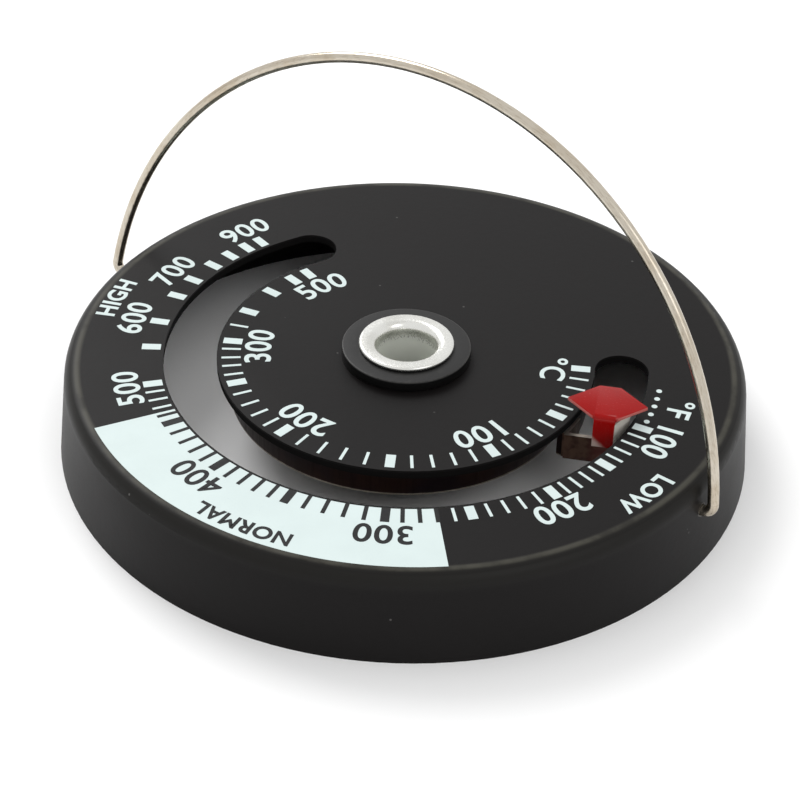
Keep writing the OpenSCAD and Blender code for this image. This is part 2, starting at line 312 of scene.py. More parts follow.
class Finish(Sheet):
    """A material being made, with the patterns that several finishes share."""

    def __init__(self, name):
        self.material = bpy.data.materials.new(name)
        self.material.use_nodes = True
        super().__init__(self.material.node_tree)
        self.tree.nodes.clear()
        self.place = self.add("ShaderNodeTexCoord", out="Object")
        self.colours = bpy.context.scene.thermometer_finish

    def split(self, vector=None):
        parts = self.tree.nodes.new("ShaderNodeSeparateXYZ")
        self.tree.links.new((vector or self.place).socket, parts.inputs[0])
        return [Wire(self, parts.outputs[i]) for i in range(3)]

    def moved(self, turn=(0, 0, 0), shift=(0, 0, 0), scale=(1, 1, 1)):
        return self.add(
            "ShaderNodeMapping", {"vector_type": "POINT"},
            {"Vector": self.place, "Location": shift, "Rotation": turn, "Scale": scale},
        )

    def noise(self, scale, detail=2.0, vector=None, roughness=0.5):
        return self.add(
            "ShaderNodeTexNoise", {"noise_dimensions": "3D"},
            {"Vector": vector or self.place, "Scale": scale, "Detail": detail,
             "Roughness": roughness},
        )

    def cells(self, scale):
        return self.add(
            "ShaderNodeTexVoronoi", {"feature": "F1"},
            {"Vector": self.place, "Scale": scale}, out="Distance",
        )

    def rings(self, along, scale, detail):
        """Noise that changes only with one distance, as turned marks do."""
        return self.add(
            "ShaderNodeTexNoise", {"noise_dimensions": "1D"},
            {"W": along, "Scale": scale, "Detail": detail},
        )

    def step(self, value, low, high, to_low=0.0, to_high=1.0):
        """Smooth change from one number to another as a value goes from low to high."""
        return self.add(
            "ShaderNodeMapRange", {"interpolation_type": "SMOOTHSTEP", "clamp": True},
            {"Value": value, "From Min": low, "From Max": high, "To Min": to_low,
             "To Max": to_high},
        )

    def mixed(self, share, first, second):
        return self.add(
            "ShaderNodeMix", {"data_type": "RGBA", "blend_type": "MIX"},
            {0: share, 6: first, 7: second}, out=2,
        )

    def tinted(self, share, first, second):
        return self.add(
            "ShaderNodeMix", {"data_type": "RGBA", "blend_type": "MULTIPLY"},
            {0: share, 6: first, 7: second}, out=2,
        )

    def radius(self):
        x, y, _ = self.split()
        return (x * x + y * y) ** 0.5

    def along_arrow(self):
        """Distances along and across the arrow from its centre, and the height."""
        c = bpy.context.scene.thermometer_pointer
        shift = (-c.slot_r * math.cos(c.skew), c.slot_r * math.sin(c.skew), 0.0)
        return self.split(self.moved(turn=(0, 0, -(c.place + c.skew)), shift=shift))

    def upward(self):
        """How level the surface is: 1 on flat faces, 0 on walls."""
        normal = self.add("ShaderNodeNewGeometry", out="Normal")
        return abs(self.split(normal)[2])

    def bump(self, height, distance, strength):
        return self.add(
            "ShaderNodeBump", None,
            {"Height": height, "Distance": distance, "Strength": strength},
        )

    def done(self, colour, roughness, metallic=0.0, normal=None, coat=None,
             coat_roughness=0.1, specular=0.5):
        surface = self.add(
            "ShaderNodeBsdfPrincipled", None,
            {"Base Color": colour, "Roughness": roughness, "Metallic": metallic,
             "Normal": normal, "Coat Weight": coat, "Coat Roughness": coat_roughness,
             "Specular IOR Level": specular},
        )
        self.add("ShaderNodeOutputMaterial", None, {"Surface": surface})
        return self.material


# ---------------------------------------------------------------- finishes


def satin_black():
    """Baked satin paint: fine grain, orange peel, dust, and bare metal at the bail's holes."""
    f = Finish("satin_black")
    rgb = f.colours.paint
    cloud = f.noise(70.0, 3.0)
    grain = f.noise(9000.0, 2.0)
    peel = f.noise(1300.0, 2.0)
    specks = f.step(f.cells(420.0), 0.03, 0.055, 1.0, 0.0)
    rare = f.step(f.noise(160.0, 1.0), 0.56, 0.62)
    x, y, z = f.split()
    ax, ay, az = BAIL["axis"]
    height = z - BAIL["pos_m"][2]
    along = x * ax + y * ay + height * az
    from_pin = (x * x + y * y + height * height - along * along) ** 0.5
    rubbed = f.step(from_pin + (f.noise(1800.0) - 0.5) * 0.0004, 0.00056, 0.0007, 1.0, 0.0)
    r = f.radius()
    # painted highlight: the rounded rim is lighter all round, in a broad soft band
    edge = f.step(r, COVER_R - 0.0024, COVER_R - 0.0012) * f.step(z, 0.0068, 0.0082)
    base = f.mixed(f.step(cloud, 0.35, 0.7, 0.0, 0.35), rgb, tuple(1.7 * c for c in rgb))
    base = f.mixed(edge * 0.5, base, (0.016, 0.0155, 0.0135))
    # thin line along the rim's corner: partly rubbed paint, partly a painted highlight
    rim = f.step(abs(r - (COVER_R - 0.00195)), 0.00006, 0.00042, 1.0, 0.0)
    worn = rim * f.step(z, 0.0075, 0.0081) * f.step(f.noise(420.0, 3.0), 0.3, 0.6, 0.35, 0.9)
    base = f.mixed(worn * 0.7, base, (0.075, 0.072, 0.058))
    base = f.mixed(specks * rare * 0.5, base, (0.16, 0.155, 0.15))
    base = f.mixed(rubbed * 0.6, base, (0.2, 0.19, 0.17))
    # painted shade: the cover's inner side is darkened and made rougher
    within = f.step(r, CUP_R - 0.0001, CUP_R + 0.0001, 1.0, 0.0)
    inside = within * f.step(z, FACE_Z - 0.0003, FACE_Z - 0.0001, 1.0, 0.0)
    base = f.mixed(inside * 0.8, base, (0.0016, 0.0014, 0.0014))
    rough = f.step(cloud, 0.3, 0.7, 0.4, 0.47) + (grain - 0.5) * 0.1 - edge * 0.05 + inside * 0.4
    bump = f.bump(peel * 0.6 + grain * 0.25, 0.000018, 0.8)
    return f.done(base, rough, rubbed * 0.9, bump, specular=0.12)


def ink(name, rgb, worn):
    """Screen-printed ink with soft pinholes and a slightly uneven film."""
    f = Finish(name)
    film = f.noise(2600.0, 3.0)
    cloud = f.noise(260.0, 2.0)
    pinholes = f.step(f.cells(3200.0), 0.02, 0.07, 1.0, 0.0) * f.step(cloud, 0.5, 0.62)
    base = f.tinted(f.step(cloud, 0.3, 0.75, 0.0, 0.5), rgb, (0.93, 0.93, 0.93))
    base = f.mixed(pinholes * 0.6, base, worn)
    rough = f.step(film, 0.3, 0.7, 0.42, 0.56)
    return f.done(base, rough, 0.0, f.bump(film, 0.00001, 0.6), specular=0.2)


def washer_black():
    """Blackened washer: fine turned rings, rubbed edges and a few pale scuffs."""
    f = Finish("washer_black")
    rgb = f.colours.washer
    r = f.radius()
    rings = f.rings(r, 9000.0, 2.0)
    grain = f.noise(5200.0, 3.0)
    scuff = f.step(f.noise(900.0, 4.0, roughness=0.7), 0.6, 0.75)
    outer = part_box("hub_washer")[1].x
    rubbed = f.step(r, outer - 0.00022, outer - 0.00003) * f.step(grain, 0.3, 0.65)
    level = f.step(f.upward(), 0.4, 0.8)
    base = f.mixed(scuff * level * 0.4, rgb, (0.035, 0.034, 0.031))
    base = f.mixed(rubbed * level * 0.3, base, (0.1, 0.095, 0.085))
    # painted shade: the washer's walls are darkened
    base = f.mixed((1 - level) * 0.8, base, (0.0012, 0.0011, 0.0011))
    rough = 0.4 + (grain - 0.5) * 0.22 - rubbed * 0.08
    return f.done(base, rough, 0.0, f.bump(rings * 0.5 + grain * 0.5, 0.000012, 0.7),
                  specular=0.3)


def plated_bright():
    """Bright plating on the rolled eyelet: ring marks, tiny pits and a duller bore."""
    f = Finish("plated_bright")
    rgb = f.colours.bright
    r = f.radius()
    _, _, z = f.split()
    rings = f.rings(r + z * 0.6, 4200.0, 2.0)
    fine = f.noise(6500.0, 3.0)
    pits = f.step(f.cells(1800.0), 0.03, 0.09, 1.0, 0.0) * f.step(f.noise(700.0), 0.54, 0.64)
    deep = f.step(z, FACE_Z - 0.0005, FACE_Z + 0.0006, 1.0, 0.0)
    smear = f.noise(420.0, 3.0)
    base = f.tinted(f.step(smear, 0.4, 0.75, 0.0, 0.4), rgb, (0.72, 0.71, 0.68))
    base = f.mixed(deep * 0.8, base, (0.74, 0.76, 0.7))
    base = f.mixed(pits * 0.4, base, (0.3, 0.29, 0.27))
    rough = f.step(fine, 0.3, 0.7, 0.16, 0.3) + deep * 0.12 + pits * 0.15
    return f.done(base, rough, 1 - deep * 0.65, f.bump(rings * 0.9 + fine * 0.1, 0.000006, 0.5))


def drawn_wire():
    """Drawn spring wire: fine lines along it, warm tarnish and small nicks."""
    f = Finish("drawn_wire")
    rgb = f.colours.wire
    ax, ay, az = BAIL["axis"]
    x, y, z = f.split()
    up = z - BAIL["pos_m"][2]
    along = x * ax + y * ay + up * az
    across = x * -ay + y * ax
    reach = (along * along + up * up) ** 0.5
    lines = f.vector(f.maths("ARCTAN2", up, along) * 0.004, reach, across)
    drawn = f.noise(9000.0, 3.0, lines)
    tarnish = f.noise(220.0, 4.0, roughness=0.65)
    nicks = f.step(f.noise(1900.0, 3.0), 0.68, 0.74)
    base = f.mixed(f.step(tarnish, 0.42, 0.72, 0.0, 0.5), rgb, (0.4, 0.32, 0.22))
    base = f.tinted(f.step(drawn, 0.45, 0.7, 0.0, 0.5), base, (0.66, 0.62, 0.56))
    base = f.mixed(nicks * 0.4, base, (0.12, 0.1, 0.08))
    rough = f.step(drawn, 0.3, 0.7, 0.14, 0.26) + nicks * 0.2
    return f.done(base, rough, 1.0, f.bump(drawn, 0.000006, 0.5))


def rolled_steel(name, rgb):
    """Plain steel: faint rolling lines, oil stains and specks of rust."""
    f = Finish(name)
    lines = f.noise(2400.0, 3.0, f.moved(scale=(1.0, 0.06, 1.0)))
    fine = f.noise(8000.0, 2.0)
    stain = f.noise(240.0, 4.0, roughness=0.6)
    rust = f.step(f.noise(1500.0, 4.0, roughness=0.7), 0.63, 0.7)
    base = f.mixed(f.step(stain, 0.45, 0.72, 0.0, 0.5), rgb, (0.3, 0.26, 0.2))
    base = f.tinted(f.step(lines, 0.5, 0.75, 0.0, 0.45), base, (0.7, 0.69, 0.67))
    base = f.mixed(rust * 0.5, base, (0.16, 0.07, 0.03))
    rough = f.step(stain, 0.3, 0.7, 0.3, 0.45) + (fine - 0.5) * 0.12 + rust * 0.25
    return f.done(base, rough, 1.0 - rust * 0.8, f.bump(lines * 0.6 + fine * 0.4, 0.000012, 0.7))


def turned_steel(name, rgb):
    """Turned steel: rings of the tool, with a little stain."""
    f = Finish(name)
    r = f.radius()
    _, _, z = f.split()
    rings = f.rings(r + z, 4200.0, 3.0)
    fine = f.noise(7000.0, 2.0)
    stain = f.noise(330.0, 4.0, roughness=0.6)
    base = f.mixed(f.step(stain, 0.45, 0.72, 0.0, 0.5), rgb, (0.3, 0.27, 0.23))
    base = f.tinted(f.step(rings, 0.5, 0.75, 0.0, 0.4), base, (0.72, 0.7, 0.68))
    rough = f.step(fine, 0.3, 0.7, 0.28, 0.42)
    return f.done(base, rough, 1.0, f.bump(rings, 0.00002, 0.8))


def heat_tinted():
    """Bimetal strip: brown oxide with violet clouds and painted shade on its faces, and a bright
    sheared edge.
    """
    f = Finish("heat_tinted_strip")
    rgb = f.colours.bimetal
    cloud = f.noise(180.0, 3.0)
    streak = f.noise(3600.0, 3.0, f.moved(scale=(1.0, 1.0, 0.05)))
    level = f.step(f.upward(), 0.55, 0.85)
    # the faces' dark colour is brown oxide and painted shade
    base = f.mixed(f.step(cloud, 0.4, 0.68), rgb, (0.012, 0.007, 0.009))
    base = f.tinted(f.step(streak, 0.45, 0.7, 0.0, 0.6), base, (0.6, 0.55, 0.5))
    _, _, z = f.split()
    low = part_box("bimetal_coil")[0].z
    burr = f.step(z + (streak - 0.5) * 0.00006, low + 0.0001, low + 0.00016, 1.0, 0.0)
    base = f.mixed(burr * 0.7, base, (0.4, 0.36, 0.3))
    base = f.mixed(level * 0.9, base, (0.62, 0.55, 0.46))
    rough = f.step(streak, 0.3, 0.7, 0.3, 0.44) - level * 0.06
    return f.done(base, rough, 0.95, f.bump(streak, 0.000014, 0.7))


def ferrite_dark():
    """Sintered ferrite: matt grey-brown grain, ground faces and pale chipped edges."""
    f = Finish("ferrite_dark")
    rgb = f.colours.ferrite
    grain = f.noise(4200.0, 5.0, roughness=0.7)
    cloud = f.noise(300.0, 3.0)
    ground = f.noise(2200.0, 2.0, f.moved(turn=(0, 0, 0.5), scale=(1.0, 0.04, 1.0)))
    r = f.radius()
    from_edge = abs(r - (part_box("ring_magnet")[1].x - 0.00015))
    chips = f.step(from_edge + (grain - 0.5) * 0.0007, 0.00004, 0.0003, 1.0, 0.0)
    level = f.step(f.upward(), 0.6, 0.9)
    base = f.mixed(f.step(cloud, 0.35, 0.7), rgb, (0.022, 0.017, 0.016))
    base = f.mixed(level * f.step(ground, 0.45, 0.7, 0.0, 0.5), base, (0.11, 0.1, 0.1))
    base = f.mixed(chips * 0.35, base, (0.17, 0.13, 0.11))
    rough = f.step(grain, 0.3, 0.7, 0.5, 0.72) - level * 0.12
    return f.done(base, rough, 0.0, f.bump(grain + ground * 0.4, 0.00004, 0.8))


def red_enamel():
    """Gloss enamel on the arrow, thin on cut edges and worn to bare metal on the tab and leg."""
    f = Finish("red_enamel")
    s, c = f.colours, bpy.context.scene.thermometer_pointer
    u, v, z = f.along_arrow()
    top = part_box("pointer_arrow")[1].z
    wave = f.noise(900.0, 3.0)
    fine = f.noise(5200.0, 3.0)
    cloud = f.noise(260.0, 2.0)
    # bare on the side leg, and thinly from the tab's low left corner upwards
    leg = f.step(u, c.corner - 0.00006, c.corner + 0.00002) * f.step(
        z, top - 0.00072, top - 0.00058, 1.0, 0.0
    )
    slant = (top - z) - (u - (c.corner - 0.0019)) * 0.9 + (wave - 0.5) * 0.0005
    tab = f.step(slant, 0.0019, 0.0027) * f.step(z, top - 0.0009, top - 0.0006, 1.0, 0.0) * 0.6
    bare = f.maths("MAXIMUM", leg, tab)
    level = f.step(f.upward(), 0.25, 0.6)
    cut = (1 - level) * f.step(z, top - 0.00034, top - 0.00028)
    fold = f.step(v, -0.0024, -0.0021)
    base = f.mixed(f.step(cloud, 0.4, 0.7, 0.0, 0.4), s.red, (0.2, 0.002, 0.002))
    base = f.mixed(cut * 0.7 * fold, base, s.pink)
    base = f.mixed(bare, base, (0.84, 0.8, 0.72))
    rough = f.step(fine, 0.3, 0.7, 0.2, 0.28) + bare * 0.18
    peel = f.bump(wave * 0.7 + fine * 0.3, 0.00002, 0.6)
    coat = (1 - bare) * 0.06
    return f.done(base, rough, bare * 0.35, peel, coat, 0.12, specular=0.1)


def arm_strip():
    """Arm strip: bare steel with a brown face partly of painted shade, red overspray by the tab
    and a bright edge.
    """
    f = Finish("arm_strip")
    u, _, _ = f.along_arrow()
    wave = f.noise(1300.0, 3.0)
    streak = f.noise(3600.0, 3.0, f.moved(scale=(1.0, 1.0, 0.05)))
    level = f.step(f.upward(), 0.55, 0.85)
    spray = f.step(u + (wave - 0.5) * 0.0012, -0.0016, 0.0002) * (1 - level)
    base = f.mixed(f.step(wave, 0.4, 0.7, 0.0, 0.7), f.colours.arm, (0.06, 0.035, 0.028))
    # the strip's walls: brown partly of its own, partly painted shade
    base = f.tinted((1 - level) * 0.8, base, (0.5, 0.3, 0.24))
    base = f.mixed(spray * 0.5, base, (0.16, 0.01, 0.01))
    base = f.mixed(level * 0.8, base, (0.68, 0.63, 0.55))
    rough = f.step(streak, 0.3, 0.7, 0.28, 0.44)
    return f.done(base, rough, 0.9 - spray * 0.5, f.bump(streak, 0.000014, 0.7))


def pale_floor():
    """Matt pale board with the faintest tooth."""
    f = Finish("pale_floor")
    tooth = f.noise(900.0, 2.0)
    rgb = f.colours.floor
    base = f.mixed(f.step(tooth, 0.3, 0.7, 0.0, 0.05), rgb, (0.93, 0.93, 0.93))
    board = f.add(
        "ShaderNodeBsdfPrincipled", None,
        {"Base Color": base, "Roughness": 0.55, "Specular IOR Level": 0.3},
    )
    clear = f.add("ShaderNodeBsdfTransparent")
    under = f.add("ShaderNodeNewGeometry", out="Backfacing")
    surface = f.add("ShaderNodeMixShader", None, {0: under, 1: board, 2: clear})
    f.add("ShaderNodeOutputMaterial", None, {"Surface": surface})
    return f.material


# ------------------------------------------------------------ mesh building


def piece_from(name, mesh, finish, stands_for=(), body="root", smooth=40.0):
    """Links a mesh as a finished piece and rides it on a body."""
    piece = bpy.data.objects.new(name, mesh)
    bpy.context.scene.collection.objects.link(piece)
    mesh.name = name
    if finish is not None:
        mesh.materials.clear()
        mesh.materials.append(finish)
    if smooth:
        with bpy.context.temp_override(
            object=piece, active_object=piece, selected_objects=[piece],
            selected_editable_objects=[piece],
        ):
            bpy.ops.object.shade_smooth_by_angle(angle=math.radians(smooth))
    if stands_for:
        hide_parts(*stands_for)
    if body:
        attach(piece, body)
    return piece


def repaint(node, finish):
    """Gives a CAD node its finish."""
    mesh = frame["nodes"][node].data
    mesh.materials.clear()
    mesh.materials.append(finish)


def arc(centre, radius, start, end, steps):
    """Points of an arc in a section, as (radius, height) pairs."""
    turns = [math.radians(start + (end - start) * i / steps) for i in range(steps + 1)]
    return [(centre[0] + radius * math.cos(t), centre[1] + radius * math.sin(t)) for t in turns]


def mesh_of(shape, name):
    """Mesh made from a finished bmesh, which is freed."""
    mesh = bpy.data.meshes.new(name)
    shape.to_mesh(mesh)
    shape.free()
    return mesh


def swept(section, directions, closed):
    """Closed section of (radius, height) pairs swept about Z, as a whole ring or with ends."""
    shape = bmesh.new()
    rings = [
        [shape.verts.new((r * math.cos(t), r * math.sin(t), z)) for r, z in section]
        for t in directions
    ]
    for ring, following in zip(rings, rings[1:] + rings[:1] if closed else rings[1:]):
        for j in range(len(section)):
            k = (j + 1) % len(section)
            shape.faces.new((ring[j], following[j], following[k], ring[k]))
    if not closed:
        shape.faces.new(rings[0])
        shape.faces.new(rings[-1][::-1])
    bmesh.ops.recalc_face_normals(shape, faces=shape.faces)
    return mesh_of(shape, "swept")


def lathed(section, steps):
    """Whole ring of a section."""
    return swept(section, [2 * math.pi * i / steps for i in range(steps)], True)


def sector(inner, outer, start, end, low, high, steps=96):
    """Flat piece of a ring between two directions."""
    section = ((inner, low), (outer, low), (outer, high), (inner, high))
    turns = [math.radians(start + (end - start) * i / steps) for i in range(steps + 1)]
    return swept(section, turns, False)


def plain_mesh(source):
    """Plain mesh of an object as it is evaluated, without the object."""
    bpy.context.view_layer.update()
    graph = bpy.context.evaluated_depsgraph_get()
    mesh = bpy.data.meshes.new_from_object(source.evaluated_get(graph), depsgraph=graph)
    data = source.data
    bpy.data.objects.remove(source)
    (bpy.data.curves if isinstance(data, bpy.types.TextCurve) else bpy.data.meshes).remove(data)
    return mesh


def boldened(mesh, pen):
    """Moves the walls of flat letters out by a pen's half width, with short mitres."""
    shape = bmesh.new()
    shape.from_mesh(mesh)
    bmesh.ops.remove_doubles(shape, verts=shape.verts, dist=1e-6)
    bmesh.ops.recalc_face_normals(shape, faces=shape.faces)
    moves = []
    for v in shape.verts:
        walls = []
        for face in v.link_faces:
            if abs(face.normal.z) < 0.5 and all(face.normal.dot(w) < 0.9999 for w in walls):
                walls.append(face.normal.copy())
        total = sum(walls, Vector())
        spread = total.length / max(len(walls), 1)
        moves.append(total.normalized() * pen * min(1 / max(spread, 0.1), 1.5))
    for v, move in zip(shape.verts, moves):
        v.co += move
    shape.to_mesh(mesh)
    shape.free()


def lettering(words, low, high, pen=0.017):
    """Printed words, each bent round the dial: (text, radius of its middle, direction, height)."""
    joined = bmesh.new()
    for text, radius, direction, tall in words:
        font = bpy.data.curves.new("lettering", "FONT")
        font.body, font.size, font.extrude = text, 1.0, 0.1
        font.align_x, font.resolution_u = "CENTER", 6
        font.space_character = 1.07
        holder = bpy.data.objects.new("lettering", font)
        bpy.context.scene.collection.objects.link(holder)
        mesh = plain_mesh(holder)
        boldened(mesh, pen)
        xs = [v.co.x for v in mesh.vertices]
        ys = [v.co.y for v in mesh.vertices]
        # digits and letters stand on the line, and the degree sign hangs above it
        foot = -pen if text[0].isdigit() or text.isalpha() else min(ys)
        scale = tall / (max(ys) - foot)
        middle = (max(xs) + min(xs)) / 2
        for v in mesh.vertices:
            reach = radius + (v.co.y - (max(ys) + foot) / 2) * scale
            t = math.radians(direction) - (v.co.x - middle) * scale / radius
            z = high if v.co.z > 0 else low
            v.co = (reach * math.cos(t), reach * math.sin(t), z)
        joined.from_mesh(mesh)
        bpy.data.meshes.remove(mesh)
    bmesh.ops.recalc_face_normals(joined, faces=joined.faces)
    return mesh_of(joined, "lettering")


def softened(node, edge):
    """Copy of a CAD node's mesh with its sharp edges rounded."""
    shape = bmesh.new()
    shape.from_mesh(frame["nodes"][node].data)
    bmesh.ops.remove_doubles(shape, verts=shape.verts, dist=1e-7)
    bmesh.ops.dissolve_limit(
        shape, angle_limit=math.radians(1.0), verts=shape.verts, edges=shape.edges
    )
    mesh = mesh_of(shape, node)
    holder = bpy.data.objects.new(node + "_copy", mesh)
    bpy.context.scene.collection.objects.link(holder)
    bevel = holder.modifiers.new("edges", "BEVEL")
    bevel.width, bevel.segments = edge, 2
    bevel.limit_method, bevel.angle_limit = "ANGLE", math.radians(30)
    bevel.use_clamp_overlap = True
    return plain_mesh(holder)


class Growth(Sheet):
    """A geometry tree being made, with named inputs."""

    def __init__(self, name, inputs):
        tree = bpy.data.node_groups.new(name, "GeometryNodeTree")
        tree.interface.new_socket("Geometry", in_out="INPUT", socket_type="NodeSocketGeometry")
        for label, kind in inputs.items():
            tree.interface.new_socket(label, in_out="INPUT", socket_type="NodeSocket" + kind)
        tree.interface.new_socket("Geometry", in_out="OUTPUT", socket_type="NodeSocketGeometry")
        super().__init__(tree)
        self.given = tree.nodes.new("NodeGroupInput")
        self.taken = tree.nodes.new("NodeGroupOutput")

    def input(self, label):
        return Wire(self, self.given.outputs[label])

    def finish_with(self, geometry, finish):
        whole = self.add("GeometryNodeRealizeInstances", None, {"Geometry": geometry})
        painted = self.add(
            "GeometryNodeSetMaterial", None, {"Geometry": whole, "Material": finish}
        )
        self.tree.links.new(painted.socket, self.taken.inputs[0])
        return self.tree


def radial_marks_tree():
    """Bars that lie along the radius at each point they are given."""
    g = Growth("Radial marks", {
        "Length": "Float", "Width": "Float", "Thickness": "Float", "Ink": "Material",
    })
    place = g.add("GeometryNodeInputPosition")
    outwards = g.add("ShaderNodeVectorMath", {"operation": "MULTIPLY"}, {0: place, 1: (1, 1, 0)})
    turn = g.add("FunctionNodeAlignRotationToVector", {"axis": "X"}, {"Vector": outwards})
    size = g.vector(g.input("Length"), g.input("Width"), g.input("Thickness"))
    bar = g.add("GeometryNodeMeshCube", None, {"Size": size})
    points = g.add("GeometryNodeMeshToPoints", None, {"Mesh": g.input("Geometry")})
    bars = g.add(
        "GeometryNodeInstanceOnPoints", None,
        {"Points": points, "Instance": bar, "Rotation": turn},
    )
    return g.finish_with(bars, g.input("Ink"))


def round_marks_tree():
    """Round dots at each point they are given."""
    g = Growth("Round marks", {
        "Radius": "Float", "Thickness": "Float", "Sides": "Int", "Ink": "Material",
    })
    dot = g.add(
        "GeometryNodeMeshCylinder", None,
        {"Vertices": g.input("Sides"), "Radius": g.input("Radius"),
         "Depth": g.input("Thickness")},
    )
    points = g.add("GeometryNodeMeshToPoints", None, {"Mesh": g.input("Geometry")})
    dots = g.add("GeometryNodeInstanceOnPoints", None, {"Points": points, "Instance": dot})
    return g.finish_with(dots, g.input("Ink"))


def spiral_strip_tree():
    """A stretch of a spiral strip on edge, from one share of its length to another."""
    g = Growth("Spiral strip", {
        "From": "Float", "To": "Float", "Points": "Int", "Outer radius": "Float",
        "Inner radius": "Float", "Turns": "Float", "Crowding": "Float", "Start": "Float",
        "Thickness": "Float", "Height": "Float", "Middle": "Float", "Finish": "Material",
    })
    line = g.add(
        "GeometryNodeCurvePrimitiveLine", None, {"Start": (0, 0, 0), "End": (1, 0, 0)}
    )
    line = g.add(
        "GeometryNodeResampleCurve", None, {"Curve": line, "Count": g.input("Points")}
    )
    step = g.add("GeometryNodeSplineParameter", out="Factor")
    share = g.input("From") + (g.input("To") - g.input("From")) * step
    crowded = share ** g.input("Crowding")
    reach = g.input("Outer radius") - (g.input("Outer radius") - g.input("Inner radius")) * crowded
    turn = g.input("Start") + g.input("Turns") * share * (2 * math.pi)
    x, y = reach * g.maths("COSINE", turn), reach * g.maths("SINE", turn)
    place = g.vector(x, y, g.input("Middle"))
    spiral = g.add("GeometryNodeSetPosition", None, {"Geometry": line, "Position": place})
    spiral = g.add("GeometryNodeSetCurveNormal", {"mode": "Z_UP"}, {"Curve": spiral})
    section = g.add(
        "GeometryNodeCurvePrimitiveQuadrilateral", {"mode": "RECTANGLE"},
        {0: g.input("Thickness"), 1: g.input("Height")},
    )
    strip = g.add(
        "GeometryNodeCurveToMesh", None,
        {"Curve": spiral, "Profile Curve": section, "Fill Caps": True},
    )
    return g.finish_with(strip, g.input("Finish"))


def grown(tree, values, points=((0.0, 0.0, 0.0),)):
    """Plain mesh that a geometry tree makes from points, with its named inputs set."""
    mesh = bpy.data.meshes.new("seed")
    mesh.from_pydata([tuple(p) for p in points], [], [])
    holder = bpy.data.objects.new("seed", mesh)
    bpy.context.scene.collection.objects.link(holder)
    modifier = holder.modifiers.new("grow", "NODES")
    modifier.node_group = tree
    for item in tree.interface.items_tree:
        if item.in_out == "INPUT" and item.name in values:
            modifier[item.identifier] = values[item.name]
    made = plain_mesh(holder)
    cleaned = bmesh.new()
    cleaned.from_mesh(made)
    bmesh.ops.remove_doubles(cleaned, verts=cleaned.verts, dist=1e-8)
    bmesh.ops.recalc_face_normals(cleaned, faces=cleaned.faces)
    cleaned.to_mesh(made)
    cleaned.free()
    return made


def on_circle(radius, directions, height):
    return [
        (radius * math.cos(math.radians(a)), radius * math.sin(math.radians(a)), height)
        for a in directions
    ]


# --------------------------------------------------------------- operators


class THERMOMETER_OT_cover(bpy.types.Operator):
    """Paints the stamped cover"""

    bl_idname = "thermometer.cover"
    bl_label = "Cover"

    def execute(self, context):
        repaint("cover", satin_black())
        return {"FINISHED"}


